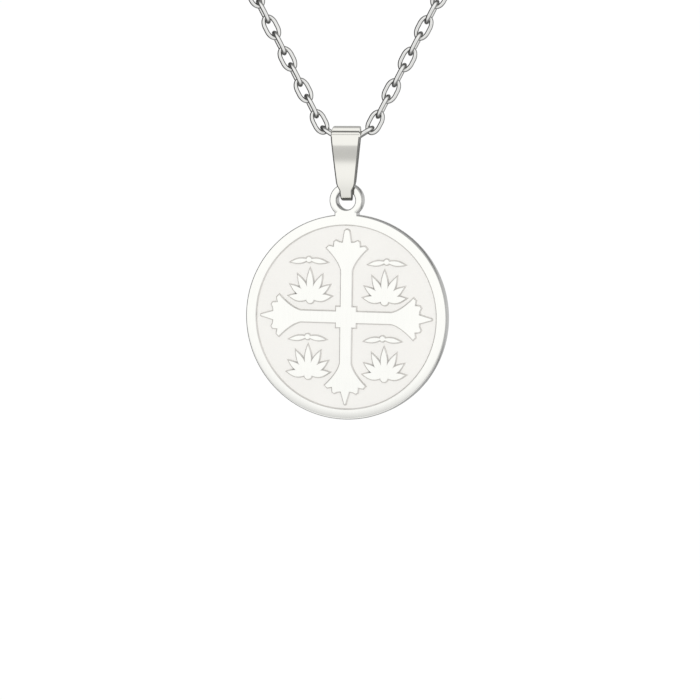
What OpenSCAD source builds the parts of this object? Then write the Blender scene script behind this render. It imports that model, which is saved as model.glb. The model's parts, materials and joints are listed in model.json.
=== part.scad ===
// Round steel cross pendant on a cable chain necklace, in millimetres.
// The origin is where the chain rests on the nape of the neck.
// +Z is up, the pendant's face looks to -Y, and the wearer's left is at +X.

/* [Medallion] */
// Diameter of the round plate
disc_d = 19; // [18:0.5:22]
// Thickness of the plate
disc_t = 1.3; // [1.2:0.05:1.4]
// Width of the raised rim round the field
rim_w = 0.93; // [0.8:0.01:1.1]
// Depth of the field below the rim and the relief
relief_h = 0.2; // [0.1:0.05:0.3]
// Height of the eye's middle above the plate's edge
eye_rise = 1.3; // [1.25:0.05:1.35]
// Outer diameter of the eye
eye_d = 3.1; // [3:0.05:3.2]
// Diameter of the hole in the eye
eye_hole_d = 1.76; // [1.74:0.01:1.8]
// Width of the neck between the eye and the plate
eye_neck_w = 2.15; // [2:0.05:2.4]
// Chamfer on both rims of the eye's hole
eye_chamfer = 0.12; // [0.1:0.01:0.15]

/* [Cross relief] */
// Reach of each arm from the plate's middle
cross_reach = 8.1; // [7.8:0.05:8.3]
// Half width of an arm's shaft
shaft_half = 0.52; // [0.45:0.01:0.6]
// Half width of the square block at the crossing
block_half = 0.95; // [0.85:0.01:1.1]
// Distance from the middle at which an arm starts to flare
flare_start = 4.3; // [4:0.05:4.6]
// Half width of the flare at its outer tooth
flare_half = 1.92; // [1.7:0.02:2.1]
// Distance from the middle to the flare's outer tooth
flare_end = 6.36; // [6.2:0.02:6.5]
// Half width of the blunt spike on the top arm
blunt_tip_half = 0.24; // [0.15:0.01:0.28]
// Half width of the sharp spike on the other arms
sharp_tip_half = 0.07; // [0.04:0.01:0.1]
// How far the cross leans to the wearer's left in the plate's plane
cross_lean = 0.8; // [0:0.1:1]

/* [Leaf ornament] */
// Length of a fan's middle leaf
fan_leaf_l = 2.85; // [2.6:0.05:3]
// Width of a fan's leaf
fan_leaf_w = 0.62; // [0.5:0.01:0.7]
// Leaves on each side of the middle one
fan_side_leaves = 3; // [2:1:3]
// Angle between neighbouring leaves
fan_step = 27; // [24:1:29]
// How much shorter each leaf is than the one above it
fan_shorten = 0.27; // [0.2:0.01:0.35]
// Diameter of the bead at a fan's foot
fan_bead_d = 0.7; // [0.6:0.05:0.8]
// Length of a garland's leaf
garland_leaf_l = 1.75; // [1.5:0.05:1.8]
// Width of a garland's leaf
garland_leaf_w = 0.42; // [0.35:0.01:0.5]
// Diameter of a garland's bead
garland_bead_d = 0.5; // [0.4:0.05:0.6]
// Droop of a garland's leaves from level
garland_droop = 8; // [4:1:12]

/* [Bail] */
// Thickness of the bail's strip
bail_wall = 0.25; // [0.2:0.01:0.27]
// Outer radius of the roll that holds the chain
bail_top_r = 1.75; // [1.72:0.01:1.85]
// Outer radius of the turn that holds the eye
bail_foot_r = 1.35; // [1.32:0.01:1.4]
// Height of the roll's axis above the foot's axis
bail_h = 3.9; // [3.8:0.05:4.1]
// Width of the strip at the top
bail_top_w = 2.8; // [2.6:0.05:2.8]
// Width of the strip at the foot
bail_foot_w = 1.26; // [1.1:0.02:1.26]
// Height of the part of each side with the foot's width
bail_foot_len = 1; // [0.9:0.05:1.1]
// Width of the strip at the shoulder above the foot
bail_shoulder_w = 1.8; // [1.5:0.05:1.8]
// Height of the shoulder above the foot's lowest edge
bail_shoulder_h = 1.5; // [1.5:0.05:1.7]
// Length of the part of each side with the top's width
bail_top_len = 0.6; // [0.5:0.05:0.8]
// How far each side edge of the strip slants inwards from the front leg to the back leg
bail_slant = 4; // [4:0.5:5]
// How far the hanging bail is turned to the wearer's left
bail_turn = 6; // [0:1:6]

/* [Chain] */
// Inner length of a chain link
link_inner = 1.745; // [1.735:0.005:1.76]
// Outer width of a chain link
link_w = 1.45; // [1.44:0.01:1.48]
// Wire of a chain link
link_wire = 0.38; // [0.34:0.01:0.38]
// Distance between the middles of two neighbouring links
link_pitch = 1.64; // [1.63:0.005:1.64]
// Links modelled one by one on each side of the lowest link
front_links = 20; // [8:2:20]
// Angle of the two front strands from upright
strand_lean = 27.7; // [26:0.1:29]
// Angle from upright of the two links that leave the bail
mouth_lean = 58; // [58:1:60]
// How far the wearer's right front strand is turned about its own length, every second link twice
strand_turn = 12; // [0:1:13]
// Diameter of the smooth run that stands for the rest of the chain
run_d = 1.45; // [1.4:0.01:1.5]

/* [Clasp and extender] */
// Length of the clasp
clasp_l = 12; // [11.8:0.1:12.1]
// Thickness of the clasp
clasp_t = 1.2; // [1:0.05:1.3]
// Diameter of the clasp's hook end
clasp_hook_d = 5.2; // [4.8:0.1:5.6]
// Diameter of the opening in the clasp's hook end
clasp_mouth_d = 3.4; // [3:0.1:3.6]
// Diameter of the clasp's eye end
clasp_eye_d = 3.2; // [3.1:0.05:3.4]
// Thickness of metal left round the clasp's two openings, at its ends
clasp_wall = 0.75; // [0.7:0.01:0.8]
// Middle radius of a jump ring
ring_r = 1.65; // [1.6:0.01:1.7]
// Wire of a jump ring
ring_wire = 0.7; // [0.6:0.05:0.7]
// Inner length of an extender link
ext_inner = 2.8; // [2.6:0.05:3]
// Outer width of an extender link
ext_w = 3; // [2.8:0.05:3.2]
// Wire of an extender link
ext_wire = 0.6; // [0.5:0.05:0.65]
// Links in the extender
ext_links = 18; // [6:1:18]

/* [Hidden] */

// smoothness of round parts
$fn = 64;
// gap kept between loose pieces, and between links on their straight sides
gap = 0.1;
link_gap = 0.12;
// overshoot of a cutting shape
eps = 0.1;
steel = [0.86, 0.86, 0.84];
steel_matt = [0.80, 0.80, 0.78];
steel_wire = [0.74, 0.74, 0.73];

// middle of the chain's lowest link, inside the top of the bail
hang = [0, -106, -113.7];
// drop from the lowest link's middle to the bail's swing axis
bail_drop = 0.35;
bail_axis_z = hang[2] - bail_drop;
foot_axis_z = bail_axis_z - bail_h;
// height of the foot's axis, where the eye swings, above the eye's middle
eye_hang = 1.3;
eye_z = disc_d / 2 + eye_rise;
disc_z = foot_axis_z - eye_hang - eye_z;
// the eye's neck, from its lower to its upper edge, measured down from the eye's middle
neck_foot_drop = 2;
neck_top_drop = 1.15;

// points of an arm of the cross, as distance from its middle line and along it:
// where the flare's curve bends, the blunt end of its tooth, the prong and the spike's foot
flare_bend = [0.72, 5.2];
tooth_end = [1.7, 6.58];
prong_inner = [1.24, 6.5];
prong_side = [1.2, 6.96];
prong_tip = [1.02, 7.08];
prong_foot = [0.74, 6.94];
spike_foot = [0.4, 6.9];

// distance of a jump ring's middle from the nape: its inner edge clears the clasp's end wall
ring_x = clasp_l / 2 - clasp_wall - gap + sqrt(pow(ring_r - ring_wire / 2, 2) - pow(clasp_t / 2, 2));
// how far past the left ring's middle the extender hangs from it
ext_offset = 0.4;

// sides of a chain link's loop, of its wire and of the smooth run
loop_sides = 12;
wire_sides = 6;
run_sides = 8;
// rings of the run between two points of its route
rings_per_step = 3;

// route of the chain's right half behind the front links, up and round to the nape
run_route = [
    [17.1, -106, -84.5],
    [23.5, -106, -71.5],
    [30.5, -104, -59.5],
    [37.5, -99, -48.5],
    [44, -91.5, -39],
    [49.5, -81, -31],
    [53, -70, -24],
    [54.5, -57, -18],
    [54, -44.5, -13],
    [50.5, -31.5, -8.5],
    [44, -20, -5.5],
    [34, -10, -3],
    [22, -3.5, -1],
    [8.5, 0, 0]
];

// where each fan's foot and each garland's middle lies on the plate
fan_feet = [[-3.4, 1.6], [3.65, 1.5], [-3.6, -5.45], [3.6, -5.6]];
garland_middles = [[-3.5, 5.3], [3.85, 5.15], [-3.65, -1.85], [3.45, -1.95]];

// Outline of a pointed leaf that grows from the origin along +Y
function leaf_points(len, width, steps = 6) = concat(
    [for (i = [0 : steps]) let (t = i / steps) [width / 2 * sin(180 * t), len * t]],
    [for (i = [1 : steps - 1]) let (t = 1 - i / steps) [-width / 2 * sin(180 * t), len * t]]
);

// Right half of an arm's outline, from the middle out to its spike
function arm_half(tip_half, steps = 5) = concat(
    [[shaft_half, 0]],
    [for (i = [0 : steps]) let (t = i / steps)
        flare_point(t, [shaft_half, flare_start], flare_bend, [flare_half, flare_end])],
    [tooth_end, prong_inner, prong_side, prong_tip, prong_foot, spike_foot],
    [for (a = [0, 45, 90]) [tip_half * cos(a), cross_reach - tip_half + tip_half * sin(a)]]
);

// Point at t on the smooth curve that leaves a towards b and arrives at c
function flare_point(t, a, b, c) = (1 - t) * (1 - t) * a + 2 * t * (1 - t) * b + t * t * c;

function mirrored(half) = concat(half, [for (i = [len(half) - 2 : -1 : 0]) [-half[i][0], half[i][1]]]);

// Side outline of the bail, a band round two turns, drawn with Y to the right and Z up
function bail_outline(inset, steps = 20) =
    let (top = bail_top_r - inset, foot = bail_foot_r - inset, slope = asin((top - foot) / bail_h))
    concat(
        [for (i = [0 : steps]) let (a = -slope + i * (180 + 2 * slope) / steps)
            [top * cos(a), top * sin(a)]],
        [for (i = [0 : steps]) let (a = 180 + slope + i * (180 - 2 * slope) / steps)
            [foot * cos(a), foot * sin(a) - bail_h]]
    );

// Corners of one wire section of an oval link. The link's length runs along Z,
// its flat lies in XZ, and k counts round the loop.
function loop_section(k, inner, width, wire) =
    let (bend = (width - wire) / 2, half = inner / 2 + wire - width / 2, per_end = loop_sides / 2)
    let (top = k < per_end, a = top ? k * 180 / (per_end - 1) : 180 + (k - per_end) * 180 / (per_end - 1))
    [for (j = [0 : wire_sides - 1])
        let (b = (j + 0.5) * 360 / wire_sides, r = bend + wire / 2 * cos(b))
        [r * cos(a), wire / 2 * sin(b), r * sin(a) + (top ? half : -half)]];

// Turns a link lying in XZ: spin about its length, lean its top towards +X, then move it.
function placed(p, spin, lean, at) =
    let (s = [p[0] * cos(spin) - p[1] * sin(spin), p[0] * sin(spin) + p[1] * cos(spin), p[2]])
    [s[0] * cos(lean) + s[2] * sin(lean), s[1], s[2] * cos(lean) - s[0] * sin(lean)] + at;

function link_points(link, inner, width, wire) =
    [for (k = [0 : loop_sides - 1]) each
        [for (p = loop_section(k, inner, width, wire)) placed(p, link[0], link[1], link[2])]];

function loop_faces(base) =
    [for (k = [0 : loop_sides - 1]) for (j = [0 : wire_sides - 1])
        let (k2 = (k + 1) % loop_sides, j2 = (j + 1) % wire_sides)
        [base + k * wire_sides + j, base + k2 * wire_sides + j,
         base + k2 * wire_sides + j2, base + k * wire_sides + j2]];

// A row of separate links, each given as its spin, its lean and its middle
module loose_links(links, inner, width, wire) {
    per_link = loop_sides * wire_sides;
    polyhedron(
        points = [for (link = links) each link_points(link, inner, width, wire)],
        faces = [for (n = [0 : len(links) - 1]) each loop_faces(n * per_link)],
        convexity = 6
    );
}

// distance from a link's middle to the middle of its end's round turn
arc_middle = link_inner / 2 + link_wire - link_w / 2;
mouth_dir = [sin(mouth_lean), 0, cos(mouth_lean)];
strand_dir = [sin(strand_lean), 0, cos(strand_lean)];
// small slack that keeps the wires clear where the chain bends, and its way at the lowest link
slack = 0.04;
slack_dir = [0.8, 0, 0.6];
mouth_foot = hang + [arc_middle, 0, 0] + slack * slack_dir;
mouth_link = mouth_foot + mouth_dir * (link_inner + link_wire) / 2;
first_flat_link = mouth_foot + mouth_dir * (link_inner + link_wire)
    + strand_dir * (slack + arc_middle);

// Spin, lean and middle of the nth front link to the right of the lowest one
function front_link(n) =
    n == 1 ? [90, mouth_lean, mouth_link]
           : [n % 2 == 0 ? 0 : 90, strand_lean, first_flat_link + strand_dir * (n - 2) * link_pitch];

// The nth front link to the left of the lowest one
function mirrored_link(n) =
    let (link = front_link(n), turns = n == 1 ? 0 : 1 + n % 2)
    [link[0] + turns * strand_turn, -link[1], [-link[2][0], link[2][1], link[2][2]]];

// Smooth curve through the route's points
function run_point(q, i, t) =
    0.5 * (2 * q[i] + (q[i + 1] - q[i - 1]) * t
        + (2 * q[i - 1] - 5 * q[i] + 4 * q[i + 1] - q[i + 2]) * t * t
        + (3 * q[i] - q[i - 1] - 3 * q[i + 1] + q[i + 2]) * t * t * t);

function run_centres(p) =
    let (n = len(p), q = concat([2 * p[0] - p[1]], p, [2 * p[n - 1] - p[n - 2]]))
    concat(
        [for (i = [1 : n - 1]) for (s = [0 : rings_per_step - 1]) run_point(q, i, s / rings_per_step)],
        [p[n - 1]]
    );

function unit(v) = v / norm(v);

// Points of a round tube along a list of centres
function tube_points(c, d) =
    let (last = len(c) - 1)
    [for (i = [0 : last]) each
        let (along = unit(c[min(i + 1, last)] - c[max(i - 1, 0)]),
             side = unit(cross(along, [0, 1, 0.3])), up = cross(side, along))
        [for (j = [0 : run_sides - 1])
            c[i] + d / 2 * (cos(j * 360 / run_sides) * side + sin(j * 360 / run_sides) * up)]];

// Faces of such a tube whose points start at base: two triangles between corners, and both ends
function tube_faces(rings, base) = concat(
    [for (i = [0 : rings - 2]) for (j = [0 : run_sides - 1]) each
        let (here = base + i * run_sides, next = here + run_sides, j2 = (j + 1) % run_sides)
        [[here + j, here + j2, next + j2], [here + j, next + j2, next + j]]],
    [[for (j = [run_sides - 1 : -1 : 0]) base + j]],
    [[for (j = [0 : run_sides - 1]) base + (rings - 1) * run_sides + j]]
);

// Places something drawn in XY, and raised along +Z, upright on the plate and facing -Y
module on_plate() {
    translate([0, hang[1], disc_z]) rotate([90, 0, 0]) children();
}

module cross_outline() {
    for (turn = [0, 90, 180, 270])
        rotate(turn) polygon(mirrored(arm_half(turn == 0 ? blunt_tip_half : sharp_tip_half)));
    square(2 * block_half, center = true);
}

// A fan of pointed leaves that stands on a bead
module leaf_fan() {
    circle(d = fan_bead_d, $fn = 16);
    for (i = [-fan_side_leaves : fan_side_leaves])
        rotate(-i * fan_step)
            translate([0, fan_bead_d / 4])
                polygon(leaf_points(fan_leaf_l - fan_bead_d / 4 - abs(i) * fan_shorten, fan_leaf_w));
}

// Two slim leaves that spread from a bead
module garland() {
    circle(d = garland_bead_d, $fn = 16);
    for (side = [-1, 1])
        rotate(-side * (90 + garland_droop)) polygon(leaf_points(garland_leaf_l, garland_leaf_w));
}

module relief_outline() {
    rotate(-cross_lean) cross_outline();
    for (foot = fan_feet) translate(foot) leaf_fan();
    for (middle = garland_middles) translate(middle) garland();
}

module plate_outline() {
    circle(d = disc_d, $fn = 128);
    translate([0, eye_z]) circle(d = eye_d);
    translate([-eye_neck_w / 2, eye_z - neck_foot_drop])
        square([eye_neck_w, neck_foot_drop - neck_top_drop]);
}

module eye_hole() {
    r = eye_hole_d / 2;
    translate([0, eye_z, 0]) {
        cylinder(r = r, h = disc_t + 2 * eps, center = true);
        for (face = [0, 1]) mirror([0, 0, face])
            translate([0, 0, disc_t / 2 - eye_chamfer])
                cylinder(r1 = r, r2 = r + eye_chamfer + eps, h = eye_chamfer + eps);
    }
}

// Round plate with its rim, its eye and the raised cross and leaves, in one piece
module medallion() {
    color(steel) on_plate() difference() {
        linear_extrude(disc_t, center = true) plate_outline();
        eye_hole();
        translate([0, 0, disc_t / 2 - relief_h]) linear_extrude(relief_h + eps) difference() {
            circle(d = disc_d - 2 * rim_w, $fn = 128);
            relief_outline();
        }
    }
}

// Block with the strip's front outline, turned about the middle of the strip's front
module bail_front(slant) {
    top_edge = bail_top_r + eps;
    foot_edge = -bail_h - bail_foot_r;
    translate([0, -bail_top_r, 0]) rotate([90, 0, slant])
        linear_extrude(6 * bail_top_r, center = true) polygon(mirrored([
            [bail_foot_w / 2, foot_edge - eps],
            [bail_foot_w / 2, foot_edge + bail_foot_len],
            [bail_shoulder_w / 2, foot_edge + bail_shoulder_h],
            [bail_top_w / 2, bail_top_r - bail_top_len],
            [bail_top_w / 2, top_edge],
            [0, top_edge]
        ]));
}

// Tapered strip bent into a closed loop: the chain runs through its top, the eye hangs in its foot
module bail() {
    color(steel) translate([0, hang[1], bail_axis_z]) rotate([0, 0, bail_turn]) intersection() {
        rotate([90, 0, 90]) linear_extrude(bail_top_w + eps, center = true) difference() {
            polygon(bail_outline(0));
            polygon(bail_outline(bail_wall));
        }
        bail_front(bail_slant);
        bail_front(-bail_slant);
    }
}

// Interlocked oval links in front: the lowest lies in the bail, the others climb both strands
module chain_front() {
    right = [for (n = [1 : front_links]) front_link(n)];
    left = [for (n = [1 : front_links]) mirrored_link(n)];
    color(steel_wire) loose_links(concat([[0, 90, hang]], right, left), link_inner, link_w, link_wire);
}

// Smooth runs in the place of the finer chain on both sides, up to the jump rings at the nape
module chain_sides() {
    right = run_centres(run_route);
    left = [for (p = right) [-p[0], p[1], p[2]]];
    rings = len(right);
    color(steel_wire) polyhedron(
        points = concat(tube_points(right, run_d), tube_points(left, run_d)),
        faces = concat(tube_faces(rings, 0), tube_faces(rings, rings * run_sides)),
        convexity = 6
    );
}

module jump_ring(x) {
    translate([x, 0, 0]) rotate_extrude() translate([ring_r, 0]) circle(d = ring_wire, $fn = 24);
}

// Jump ring that joins the left strand, the clasp's hook and the extender
module ring_left() {
    color(steel_wire) jump_ring(-ring_x);
}

// Jump ring that joins the right strand to the clasp's eye
module ring_right() {
    color(steel_wire) jump_ring(ring_x);
}

// Clasp as one plain plate with a hook end and an eye end
module clasp() {
    hook_x = -clasp_l / 2 + clasp_hook_d / 2;
    mouth_x = -clasp_l / 2 + clasp_wall + clasp_mouth_d / 2;
    eye_x = clasp_l / 2 - clasp_eye_d / 2;
    color(steel_matt) rotate([90, 0, 0]) difference() {
        linear_extrude(clasp_t, center = true) hull() {
            translate([hook_x, 0]) circle(d = clasp_hook_d);
            translate([eye_x, 0]) circle(d = clasp_eye_d);
        }
        translate([mouth_x, 0, 0]) cylinder(d = clasp_mouth_d, h = clasp_t + 2 * eps, center = true);
        translate([eye_x, 0, 0])
            cylinder(d = clasp_eye_d - 2 * clasp_wall, h = clasp_t + 2 * eps, center = true);
    }
}

// Hanging row of larger links, a free end that lengthens the necklace
module extender() {
    // the first link holds the left jump ring's wire behind its middle
    hold_x = -ring_x - ext_offset;
    hold_y = sqrt(ring_r * ring_r - ext_offset * ext_offset);
    first_z = ring_wire / 2 + link_gap - ext_inner / 2;
    links = [for (n = [0 : ext_links - 1])
        [n % 2 == 0 ? 90 : 0, 0, [hold_x, hold_y, first_z - n * (ext_inner - link_gap)]]];
    color(steel_wire) loose_links(links, ext_inner, ext_w, ext_wire);
}

medallion();
bail();
chain_front();
chain_sides();
ring_left();
ring_right();
clasp();
extender();
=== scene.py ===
import json
from collections import namedtuple
from math import asin, atan, atan2, cos, degrees, hypot, pi, radians, sin, sqrt, tan

import bmesh
import bpy
from bpy.props import FloatProperty, FloatVectorProperty, IntProperty, PointerProperty
from bpy.types import Operator, Panel, PropertyGroup
from mathutils import Matrix, Vector


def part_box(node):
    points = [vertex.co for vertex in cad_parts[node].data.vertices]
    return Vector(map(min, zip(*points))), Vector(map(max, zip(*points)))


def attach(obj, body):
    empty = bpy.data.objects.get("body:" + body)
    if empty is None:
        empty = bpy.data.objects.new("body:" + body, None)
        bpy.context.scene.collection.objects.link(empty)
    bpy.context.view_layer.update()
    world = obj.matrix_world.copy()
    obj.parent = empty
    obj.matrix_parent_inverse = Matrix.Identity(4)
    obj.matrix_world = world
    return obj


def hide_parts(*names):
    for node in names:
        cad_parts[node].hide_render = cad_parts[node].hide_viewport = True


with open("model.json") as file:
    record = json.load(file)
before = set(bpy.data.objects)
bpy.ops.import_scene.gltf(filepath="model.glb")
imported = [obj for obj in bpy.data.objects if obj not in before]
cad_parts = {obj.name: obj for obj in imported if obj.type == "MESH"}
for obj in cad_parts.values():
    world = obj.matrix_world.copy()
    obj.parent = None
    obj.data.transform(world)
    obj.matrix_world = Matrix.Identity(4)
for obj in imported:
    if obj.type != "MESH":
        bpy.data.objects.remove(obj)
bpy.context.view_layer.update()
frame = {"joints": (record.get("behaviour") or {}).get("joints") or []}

bl_info = {
    "name": "Cross Pendant Necklace",
    "version": (1, 0, 0),
    "blender": (4, 5, 0),
    "location": "3D View > Sidebar > Necklace",
    "description": "Builds a round cross pendant with its bail, cable chain, clasp and studio",
    "category": "Add Mesh",
}

MM = 0.001
plate_low, plate_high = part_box("medallion")
ring_low, ring_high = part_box("ring_right")
clasp_low, clasp_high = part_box("clasp")
joint_places = {joint["name"]: Vector(joint["pos_m"]) for joint in frame["joints"]}
bail_axis = joint_places["bail_swing"]
foot_axis = joint_places["medallion_swing"]


def length(name, description, millimetres):
    return FloatProperty(name=name, description=description, default=millimetres * MM, min=0,
                         precision=5, unit="LENGTH")


def angle(name, description, turn):
    """An angle whose first value is given in degrees."""
    return FloatProperty(name=name, description=description, default=radians(turn),
                         subtype="ANGLE", unit="ROTATION")


def share(name, description, value):
    return FloatProperty(name=name, description=description, default=value, min=0, max=1,
                         subtype="FACTOR")


def amount(name, description, value):
    return FloatProperty(name=name, description=description, default=value, min=0)


def count(name, description, number):
    return IntProperty(name=name, description=description, default=number, min=1)


def colour(name, description, value):
    return FloatVectorProperty(name=name, description=description, default=value, size=3, min=0,
                               max=1, subtype="COLOR")


class MedallionSizes(PropertyGroup):
    diameter: length("Diameter", "Across the round plate", (plate_high.x - plate_low.x) / MM)
    thickness: length("Thickness", "From the back to the top of the rim",
                      (plate_high.y - plate_low.y) / MM)
    rim_width: length("Rim width", "Width of the raised rim", 0.93)
    relief_height: length("Relief height", "Height of rim and relief above the field", 0.2)
    edge_round: length("Edge rounding", "Radius of the plate's outer edges", 0.12)
    rim_fall: length("Rim fall", "How much lower the rim's outer edge is than its inner one", 0.011)
    wall_slope: length("Wall slope", "Width of the sloping walls round the rim and relief", 0.11)
    brow: length("Brow", "Width of the small bevel at the top of those walls", 0.015)
    eye_diameter: length("Eye diameter", "Across the eye at the top", 3.1)
    eye_hole: length("Eye hole", "Across the hole in the eye", 1.76)
    eye_hang: length("Eye hang", "Drop from the bail's foot axis to the eye's middle", 1.3)
    eye_chamfer: length("Eye chamfer", "Rounding of the rims of the eye's hole", 0.12)
    neck_width: length("Neck width", "Width of the neck between eye and plate", 2.15)


class CrossSizes(PropertyGroup):
    reach: length("Reach", "From the middle to each arm's tip", 8.1)
    shaft_half: length("Shaft half width", "Half the width of an arm's shaft", 0.52)
    block_half: length("Block half width", "Half the width of the block at the crossing", 0.95)
    flare_start: length("Flare start", "Where an arm starts to widen", 4.3)
    flare_half: length("Flare half width", "Half width at the outer tooth", 1.92)
    flare_end: length("Flare end", "Distance from the middle to the outer tooth", 6.36)
    blunt_tip_half: length("Blunt tip", "Half width of the top arm's spike", 0.24)
    sharp_tip_half: length("Sharp tip", "Half width of the other arms' spikes", 0.07)
    lean: angle("Lean", "Lean of the cross to the wearer's left in the plate's plane", 0.8)


class LeafSizes(PropertyGroup):
    fan_leaf_length: length("Fan leaf length", "Length of a fan's middle leaf", 2.85)
    fan_leaf_width: length("Fan leaf width", "Width of a fan's leaves", 0.62)
    fan_side_leaves: count("Side leaves", "Leaves on each side of a fan's middle one", 3)
    fan_step: angle("Fan step", "Angle between neighbouring leaves", 27)
    fan_shorten: length("Fan shortening", "How much shorter each leaf is than the last", 0.27)
    fan_bead: length("Fan bead", "Diameter of the bead at a fan's foot", 0.7)
    fan_web: length("Fan web", "Radius within which a fan's leaves are joined", 0.6)
    garland_leaf_length: length("Garland leaf length", "Length of a garland's leaf", 1.75)
    garland_leaf_width: length("Garland leaf width", "Width of a garland's leaf", 0.42)
    garland_bead: length("Garland bead", "Diameter of a garland's bead", 0.5)
    garland_droop: angle("Garland droop", "Droop of a garland's leaves from level", 8)


class BailSizes(PropertyGroup):
    wall: length("Wall", "Thickness of the strip", 0.25)
    top_depth: length("Top half depth", "From the roll's middle to its front", 1.75)
    top_height: length("Top half height", "From the roll's middle to its top", 1.5)
    roll_rise: length("Roll rise", "Height of the roll's middle above the swing axis", 0.15)
    foot_radius: length("Foot radius", "Outer radius of the turn that holds the eye", 1.35)
    top_pitch: angle("Top pitch", "How far the front looks down below the roll", 2.6)
    foot_pitch: angle("Foot pitch", "How far the front looks down above the foot", 9.2)
    top_width: length("Top width", "Width of the strip at the top", 2.8)
    shoulder_width: length("Shoulder width", "Width of the strip above the foot", 1.8)
    foot_width: length("Foot width", "Width of the strip at the foot", 1.26)
    top_length: length("Top length", "Height of the part with the top's width", 0.6)
    shoulder_height: length("Shoulder height", "Height of the shoulder above the foot's edge", 1.5)
    foot_length: length("Foot length", "Height of the part with the foot's width", 1)
    slant: angle("Slant", "How far each side edge slants inwards from front to back", 4)
    turn: angle("Turn", "How far the hanging bail is turned to the wearer's left", 6)
    edge_round: length("Edge rounding", "Radius of the strip's outer edges", 0.13)
    inner_round: length("Inner rounding", "Radius of the strip's inner edges", 0.05)


class ChainSizes(PropertyGroup):
    link_inner: length("Link inner length", "Length of a link's opening", 1.745)
    link_width: length("Link width", "Outer width of a link", 1.45)
    link_wire: length("Link wire", "Diameter of a link's wire", 0.38)
    wire_swell: length("Wire swell", "How much thicker the drawn wire is, about its own middle",
                       0.04)
    roundness: share("Roundness", "How far a link goes from straight sides to an ellipse", 0.6)
    link_pitch: length("Link pitch", "From one link's middle to the next", 1.64)
    bail_drop: length("Bail drop", "From the lowest link's middle to the bail's axis", 0.35)
    slack: length("Slack", "Play between the links where the chain bends", 0.04)
    front_links: count("Front links", "Straight links on each side of the lowest one", 20)
    side_links: count("Side links", "Links from there to each jump ring", 112)
    strand_lean: angle("Strand lean", "Lean of the two front strands", 27.7)
    mouth_lean: angle("Mouth lean", "Lean of the links that leave the bail", 58)
    strand_turn: angle("Strand turn", "How far the wearer's right strand is turned along itself",
                       12)


class FittingSizes(PropertyGroup):
    ring_wire: length("Ring wire", "Diameter of a jump ring's wire",
                      (ring_high.z - ring_low.z) / MM)
    ring_cut: length("Ring cut", "Width of the cut where a jump ring closes", 0.03)
    hook_diameter: length("Hook diameter", "Across the clasp's hook end", 5.2)
    mouth_diameter: length("Mouth diameter", "Across the opening in the hook end", 3.4)
    eye_diameter: length("Eye diameter", "Across the clasp's eye end", 3.2)
    clasp_wall: length("Clasp wall", "Metal left round the clasp's openings", 0.75)
    clasp_round: length("Clasp rounding", "Rounding of the clasp's edges", 0.18)
    extender_inner: length("Extender inner length", "Length of an extender link's opening", 2.8)
    extender_width: length("Extender width", "Outer width of an extender link", 3)
    extender_wire: length("Extender wire", "Diameter of an extender link's wire", 0.6)
    extender_offset: length("Extender offset", "How far past the ring's middle it hangs", 0.4)
    link_gap: length("Link gap", "Play between two extender links", 0.12)
    extender_links: count("Extender links", "Number of links in the extender", 18)


class SteelFinishes(PropertyGroup):
    polished: colour("Polished steel", "Rim and relief", (0.965, 0.965, 0.928))
    matt: colour("Matt steel", "The field round the relief", (0.985, 0.972, 0.936))
    # painted shade: the walls' darker colour adds grey lines on top of their real reflections
    wall: colour("Painted wall shade", "The sloping walls of rim and relief", (0.72, 0.71, 0.69))
    turned: colour("Turned steel", "The plate's outer edge", (0.8, 0.8, 0.78))
    # painted shade: a dark line along the rounded edges of the plate and its eye
    line: colour("Painted edge shade", "The rounded edges of the plate and its eye", (0.45, 0.45, 0.44))
    bail: colour("Bail steel", "Outside of the bail", (0.875, 0.866, 0.813))
    # painted shade: a dark colour for the inside of the bail and along its edges
    inside: colour("Painted bail shade", "Inside and edges of the bail", (0.2, 0.2, 0.19))
    wire: colour("Wire steel", "Chain, rings and extender", (0.97, 0.97, 0.95))
    satin: colour("Satin steel", "Back of the plate, and the clasp", (0.86, 0.86, 0.845))
    polish_roughness: share("Polish roughness", "Roughness of the polished faces", 0.07)
    matt_roughness: share("Matt roughness", "Roughness of the field", 0.42)
    wall_roughness: share("Wall roughness", "Roughness of the sloping walls", 0.32)
    turned_roughness: share("Turned roughness", "Roughness of the plate's outer edge", 0.12)
    line_roughness: share("Edge roughness", "Roughness of the rounded edges", 0.3)
    wire_roughness: share("Wire roughness", "Roughness of the wires", 0.07)
    satin_roughness: share("Satin roughness", "Roughness of the satin faces", 0.4)


class StudioSettings(PropertyGroup):
    azimuth: angle("Azimuth", "Turn of the camera towards the wearer's left", 12.7)
    elevation: angle("Elevation", "Height of the camera above the pendant", 3.05)
    distance: length("Distance", "From the camera to the pendant", 500)
    lens: amount("Lens", "Focal length in millimetres", 278.2)
    sensor: amount("Sensor width", "Width of the camera's sensor in millimetres", 36)
    target_rise: length("Target rise", "Height of the sighted point above the plate's middle", 8)
    aim_drop: length("Aim drop", "How far below that point the camera aims", 11.05)
    aim_right: length("Aim right", "How far to the right of it the camera aims", 0.25)
    floor_drop: length("Floor drop", "Height of the pendant's foot above the floor", 110)
    floor_half: length("Floor half width", "Half the width of the floor", 30000)
    floor_colour: colour("Floor", "Colour of the floor", (0.94, 0.94, 0.94))
    fill: amount("Fill", "Strength of the even light", 1.08)


class NecklaceSettings(PropertyGroup):
    medallion: PointerProperty(type=MedallionSizes)
    cross: PointerProperty(type=CrossSizes)
    leaves: PointerProperty(type=LeafSizes)
    bail: PointerProperty(type=BailSizes)
    chain: PointerProperty(type=ChainSizes)
    fittings: PointerProperty(type=FittingSizes)
    steel: PointerProperty(type=SteelFinishes)
    studio: PointerProperty(type=StudioSettings)


# Points of an arm of the cross in millimetres, as distance from its middle line and along it
FLARE_BEND = (0.72, 5.2)
TEETH = ((1.7, 6.58), (1.24, 6.5), (1.2, 6.96), (1.02, 7.08), (0.74, 6.94), (0.4, 6.9))
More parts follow.
